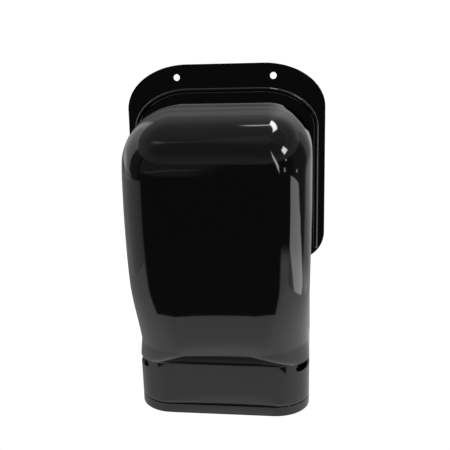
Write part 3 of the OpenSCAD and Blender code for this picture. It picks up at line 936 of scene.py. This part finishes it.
def plastic_material(name, color, roughness, wave=0.0, grain=0.0, grain_size=0.2):
    """Moulded plastic: long soft waves from the mould, a fine grain and patches in its gloss."""
    material, nodes = new_material(name)
    place = nodes.add("ShaderNodeTexCoord").outputs["Object"]
    waves = nodes.add("ShaderNodeTexNoise", {"Vector": place, "Scale": 28.0, "Detail": 1.0})
    grains = nodes.add("ShaderNodeTexNoise",
                       {"Vector": place, "Scale": 1 / (grain_size * MM), "Detail": 2.0})
    patches = nodes.add("ShaderNodeTexNoise", {"Vector": place, "Scale": 60.0, "Detail": 5.0})
    rough = nodes.ramp(patches.outputs["Fac"], 0.3, 0.7, roughness * 0.85, roughness * 1.2, "LINEAR")
    bump = nodes.add("ShaderNodeBump", {"Height": waves.outputs["Fac"], "Distance": wave * MM})
    fine = nodes.add("ShaderNodeBump", {"Height": grains.outputs["Fac"], "Distance": grain * MM,
                                        "Normal": bump.outputs["Normal"]})
    shader = nodes.add("ShaderNodeBsdfPrincipled", {
        "Base Color": (*color, 1.0), "Roughness": rough, "IOR": 1.5,
        "Normal": fine.outputs["Normal"]})
    nodes.add("ShaderNodeOutputMaterial", {"Surface": shader.outputs["BSDF"]})
    return material


def metal_material(name, color, roughness):
    """Bare metal with fine drawn streaks in its roughness."""
    material, nodes = new_material(name)
    place = nodes.add("ShaderNodeTexCoord").outputs["Object"]
    stretched = nodes.add("ShaderNodeMapping", {"Vector": place, "Scale": (0.2, 1.0, 1.0)})
    lines = nodes.add("ShaderNodeTexNoise",
                      {"Vector": stretched.outputs["Vector"], "Scale": 900.0, "Detail": 3.0})
    rough = nodes.ramp(lines.outputs["Fac"], 0.3, 0.7, roughness * 0.8, roughness * 1.25, "LINEAR")
    fine = nodes.add("ShaderNodeBump", {"Height": lines.outputs["Fac"], "Distance": 0.01 * MM})
    shader = nodes.add("ShaderNodeBsdfPrincipled", {
        "Base Color": (*color, 1.0), "Metallic": 1.0, "Roughness": rough,
        "Normal": fine.outputs["Normal"]})
    nodes.add("ShaderNodeOutputMaterial", {"Surface": shader.outputs["BSDF"]})
    return material


def foam_material(name, color, cell):
    """Closed-cell foam or rubber: dull, with small cells in its surface and painted shade in their
    hollows.
    """
    material, nodes = new_material(name)
    place = nodes.add("ShaderNodeTexCoord").outputs["Object"]
    cells = nodes.add("ShaderNodeTexVoronoi", {"Vector": place, "Scale": 1 / (cell * MM)})
    bump = nodes.add("ShaderNodeBump", {"Height": cells.outputs["Distance"], "Distance": cell * 0.25 * MM})
    # The cells' hollows, where the bump is lowest, are painted darker: painted shade
    painted_cell_shade = nodes.add("ShaderNodeMix", data_type="RGBA")
    nodes.put(painted_cell_shade.inputs["Factor"], nodes.ramp(cells.outputs["Distance"], 0.2, 0.7))
    nodes.put(painted_cell_shade.inputs["A"], (*(0.6 * c for c in color), 1.0))
    nodes.put(painted_cell_shade.inputs["B"], (*color, 1.0))
    shader = nodes.add("ShaderNodeBsdfPrincipled", {
        "Base Color": painted_cell_shade.outputs["Result"], "Roughness": 0.85, "IOR": 1.45,
        "Normal": bump.outputs["Normal"]})
    nodes.add("ShaderNodeOutputMaterial", {"Surface": shader.outputs["BSDF"]})
    return material


MATERIALS = {
    "black_gloss": plastic_material("black_gloss", (0.0012, 0.0012, 0.0013), 0.05, wave=0.02),
    "black_matte": plastic_material("black_matte", (0.012, 0.012, 0.013), 0.38, grain=0.02),
    "nylon": plastic_material("nylon", (0.62, 0.6, 0.53), 0.42, grain=0.01),
    "foam": foam_material("foam", (0.05, 0.052, 0.055), 0.45),
    "rubber": foam_material("rubber", (0.022, 0.022, 0.023), 0.12),
    "mesh_steel": metal_material("mesh_steel", (0.45, 0.46, 0.47), 0.32),
    "steel": metal_material("steel", (0.6, 0.61, 0.62), 0.28),
}


# ---- Every piece, with its material ----

make_hood()
base = make_base()
gasket = make_gasket()
seal = make_seal()
make_rim()
make_screen_frame()
make_mesh()
make_screws()
make_flap()
make_foam_ring()
make_spindle()
for side, side_name in ((-1, "left"), (1, "right")):
    make_spring(side, side_name)
    make_button(side, side_name)
for piece in bpy.context.scene.objects:
    if piece.type == "MESH":
        slot = piece.get("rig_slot") or RECORD_SLOTS[piece.name]
        piece.data.materials.clear()
        piece.data.materials.append(MATERIALS[slot])


# ---- The room: what the gloss reflects ----

# Soft windows in the room: azimuth, half width, elevation, half height, slope, soft edge, strength.
# The angles are in degrees. Azimuth 0 is in front of the hood and grows towards +X. The slope is how
# much the elevation changes with the azimuth.
WINDOWS = {
    "left_window": (-122, 27, 23, 21, 0.0, 2.5, 1.0),
    "left_window_core": (-118, 9, 8, 6, 0.0, 4, 1.0),
    "left_window_low": (-105, 16, 0, 4, 0.0, 3, 0.7),
    "left_panel": (-86, 11, 71, 4, 0.45, 2, 0.7),
    "left_low": (-105, 43, -40, 38, 0.0, 3, 0.35),
    "left_low_near": (-92, 30, -42, 40, 0.0, 3, 0.2),
    "front_left_wall": (-37, 27, 27, 14, 0.0, 2, 0.14),
    "front_tube": (-31, 20, 22, 1.6, 0.27, 1.2, 0.3),
    "tall_lamp": (32, 5, 42, 8, -3.45, 1.5, 9.0),
    "right_softbox": (67, 8, 57, 5, 0.25, 0.8, 18.0),
    "small_lamp_1": (57, 2, 38, 2, 0.0, 0.8, 5.0),
    "small_lamp_2": (50, 1.6, 20, 4, 0.0, 0.8, 5.0),
    "small_lamp_3": (81, 1.8, 8, 2, 0.0, 0.8, 5.0),
    "right_low": (100, 57, -48, 28, 0.0, 3, 0.7),
    "right_low_near": (53, 10, -45, 25, 0.0, 3, 0.4),
    "right_table": (88, 24, -21, 12, -0.6, 1.5, 3.2),
    "right_far_low": (136, 24, -12, 14, 0.0, 5, 0.6),
    "right_wall": (148, 31, 18, 30, 0.0, 6, 0.45),
    "back_glow": (180, 40, 31, 10.5, 0.0, 1.5, 0.2),
    "back_glow_top": (180, 40, 37.5, 4.5, 0.0, 1.5, 0.2),
    "back_softbox": (167, 10, 64, 3.6, -0.67, 1.0, 16.0),
    "back_softbox_tail": (-176, 8, 62.5, 0.8, 0.0, 1.0, 6.0),
    "ceiling_line": (110, 45, 63, 1.0, 0.0, 1.0, 0.2),
}


def make_room():
    """The world: the room to reflections and soft light, and plain white to the camera."""
    world = bpy.data.worlds.new("studio_room")
    bpy.context.scene.world = world
    world.use_nodes = True
    nodes = Nodes(world.node_tree)
    direction = nodes.add("ShaderNodeTexCoord").outputs["Generated"]
    way = nodes.add("ShaderNodeSeparateXYZ", {"Vector": direction})
    ahead = nodes.math("MULTIPLY", way.outputs["Y"], -1)
    azimuth = nodes.math("DEGREES", nodes.math("ARCTAN2", way.outputs["X"], ahead))
    elevation = nodes.math("DEGREES", nodes.math("ARCSINE", way.outputs["Z"]))

    def window(az, az_half, el, el_half, slope, soft):
        """1 inside a window and 0 outside it, with a soft edge."""
        along = nodes.math("WRAP", nodes.math("SUBTRACT", azimuth, az), 180, -180)
        up = nodes.math("SUBTRACT", elevation, nodes.math("MULTIPLY_ADD", along, slope, el))
        wide = nodes.ramp(nodes.math("ABSOLUTE", along), az_half + soft, az_half - soft)
        high = nodes.ramp(nodes.math("ABSOLUTE", up), el_half + soft, el_half - soft)
        return nodes.math("MULTIPLY", wide, high)

    # The dark doorway behind the camera with the bright wall over it, then what is added to that:
    # the ceiling's darker edge, its brighter middle, and the walls at the sides of the doorway
    light = nodes.ramp(elevation, 39, 43, 0.085, 0.385)
    light = nodes.math("ADD", light, nodes.ramp(elevation, 46, 64, 0.0, -0.17))
    light = nodes.math("ADD", light, nodes.ramp(elevation, 79, 84, 0.0, 0.13))
    light = nodes.math("ADD", light, nodes.ramp(nodes.math("ABSOLUTE", azimuth), 66, 76, 0.0, 0.08))
    for *place, strength in WINDOWS.values():
        light = nodes.math("MULTIPLY_ADD", window(*place), strength, light)
    room = nodes.add("ShaderNodeBackground", {"Strength": light})
    backdrop = nodes.add("ShaderNodeBackground", {"Color": (1, 1, 1, 1), "Strength": WHITE})
    both = nodes.white_to_camera(room, backdrop)
    nodes.add("ShaderNodeOutputWorld", {"Surface": both.outputs[0]})


WHITE = 1.05                   # a little over 1, so that noise doesn't show in it
FLOOR_Z = -200.0
FLOOR_LEFT, FLOOR_RIGHT, FLOOR_BACK = -420.0, 290.0, 700.0
BOW_X, BOW_Y, BOW_R = -7.0, -15.0, 195.0
HOOD_MIDDLE_Y, NECK_MIDDLE_Y = -45.0, -30.0


def floor_edge():
    """The floor's front edge bows round the hood, so that the dark room before it reflects as an
    upright panel."""
    bow = arc(BOW_X, BOW_Y, BOW_R, BOW_R, -140, -41)
    return np.concatenate([[(FLOOR_LEFT, -252)], bow, [(190, -200), (FLOOR_RIGHT, -219)],
                           [(FLOOR_RIGHT, FLOOR_BACK), (FLOOR_LEFT, FLOOR_BACK)]])


def make_floor():
    """A plain pale floor, clear from below. The camera sees it white. The gloss sees it glow with painted
    light and shade: painted light in front of the hood, a painted shadow near it, and painted shade at its
    sides and behind it."""
    edge = floor_edge()
    floor = add_mesh("floor", [[x, y, FLOOR_Z] for x, y in edge], [list(range(len(edge)))])
    if floor.data.polygons[0].normal.z < 0:
        floor.data.flip_normals()
    material, nodes = new_material("pale_floor")
    where = nodes.add("ShaderNodeTexCoord").outputs["Object"]
    place = nodes.add("ShaderNodeSeparateXYZ", {"Vector": where})
    x = nodes.math("DIVIDE", place.outputs["X"], MM)
    y = nodes.math("DIVIDE", place.outputs["Y"], MM)
    # By direction from the hood, 0 being in front, painted light and shade: darker round the left,
    # brighter at the right's front, then darker again
    around = nodes.math("DEGREES", nodes.math("ARCTAN2", x, nodes.math("SUBTRACT", HOOD_MIDDLE_Y, y)))
    light = nodes.ramp(around, -62, -150, 0.92, 0.13, "LINEAR")
    light = nodes.math("MULTIPLY", light, nodes.ramp(around, 30, 60, 1.0, 1.15))
    light = nodes.math("MULTIPLY", light, nodes.ramp(around, 85, 165, 1.0, 0.4, "LINEAR"))
    # By distance from the neck: a painted brighter ring, and a painted shadow of the hood under the neck
    from_neck = nodes.math("SUBTRACT", y, NECK_MIDDLE_Y)
    r = nodes.math("SQRT", nodes.math("ADD", nodes.math("MULTIPLY", x, x),
                                      nodes.math("MULTIPLY", from_neck, from_neck)))
    painted_ring_and_shadow = nodes.math("ADD", nodes.ramp(r, 125, 94, 1.0, 1.5), nodes.ramp(r, 94, 80, 0.0, -1.3))
    light = nodes.math("MULTIPLY", light, painted_ring_and_shadow)
    shaded = nodes.add("ShaderNodeEmission", {"Strength": light})
    white = nodes.add("ShaderNodeEmission", {"Strength": WHITE})
    top = nodes.white_to_camera(shaded, white)
    underside = nodes.add("ShaderNodeBsdfTransparent")
    from_below = nodes.add("ShaderNodeNewGeometry").outputs["Backfacing"]
    both_sides = nodes.blend(from_below, top, underside)
    nodes.add("ShaderNodeOutputMaterial", {"Surface": both_sides.outputs[0]})
    floor.data.materials.append(material)


def make_flag():
    """A black card that only reflections see. It stands in for the flange in them, but stops below
    the hood's top, so that the roof reflects the room behind it and the inside stays dark."""
    half, foot, top, y = 63.0, NECK_FOOT, HOOD_TOP - 2, PLATE_MIDDLE_Y
    flag = add_mesh("black_flag", [[-half, y, foot], [half, y, foot], [half, y, top], [-half, y, top]],
                    [[0, 1, 2, 3]])
    material, nodes = new_material("flag_black")
    shader = nodes.add("ShaderNodeBsdfDiffuse", {"Color": (0.0, 0.0, 0.0, 1.0)})
    nodes.add("ShaderNodeOutputMaterial", {"Surface": shader.outputs[0]})
    flag.data.materials.append(material)
    for ray in ("camera", "diffuse", "transmission", "volume_scatter", "shadow"):
        setattr(flag, "visible_" + ray, False)


# ---- The camera ----

CAMERA_AT = Vector((63.77, -513.03, 81.885)) * MM
CAMERA_YAW = 0.12799
CAMERA_PITCH = 0.2106
CAMERA_ROLL = -0.02077
LENS = 53.72


def make_camera():
    """The camera, turned by yaw and pitch, then rolled about the way it looks."""
    data = bpy.data.cameras.new("camera")
    data.lens = LENS
    camera = bpy.data.objects.new("camera", data)
    bpy.context.scene.collection.objects.link(camera)
    ahead = Vector((-math.sin(CAMERA_YAW) * math.cos(CAMERA_PITCH),
                    math.cos(CAMERA_YAW) * math.cos(CAMERA_PITCH), -math.sin(CAMERA_PITCH)))
    level = Vector((math.cos(CAMERA_YAW), math.sin(CAMERA_YAW), 0))
    lifted = level.cross(ahead)
    right = math.cos(CAMERA_ROLL) * level + math.sin(CAMERA_ROLL) * lifted
    up = right.cross(ahead)
    turn = Matrix((right, up, -ahead)).transposed().to_4x4()
    camera.matrix_world = Matrix.Translation(CAMERA_AT) @ turn
    bpy.context.scene.camera = camera


# The black card takes the place of these in reflections
for piece in (base, gasket, seal):
    piece.visible_glossy = False
make_room()
make_floor()
make_flag()
make_camera()
bpy.context.scene.view_settings.view_transform = "Standard"
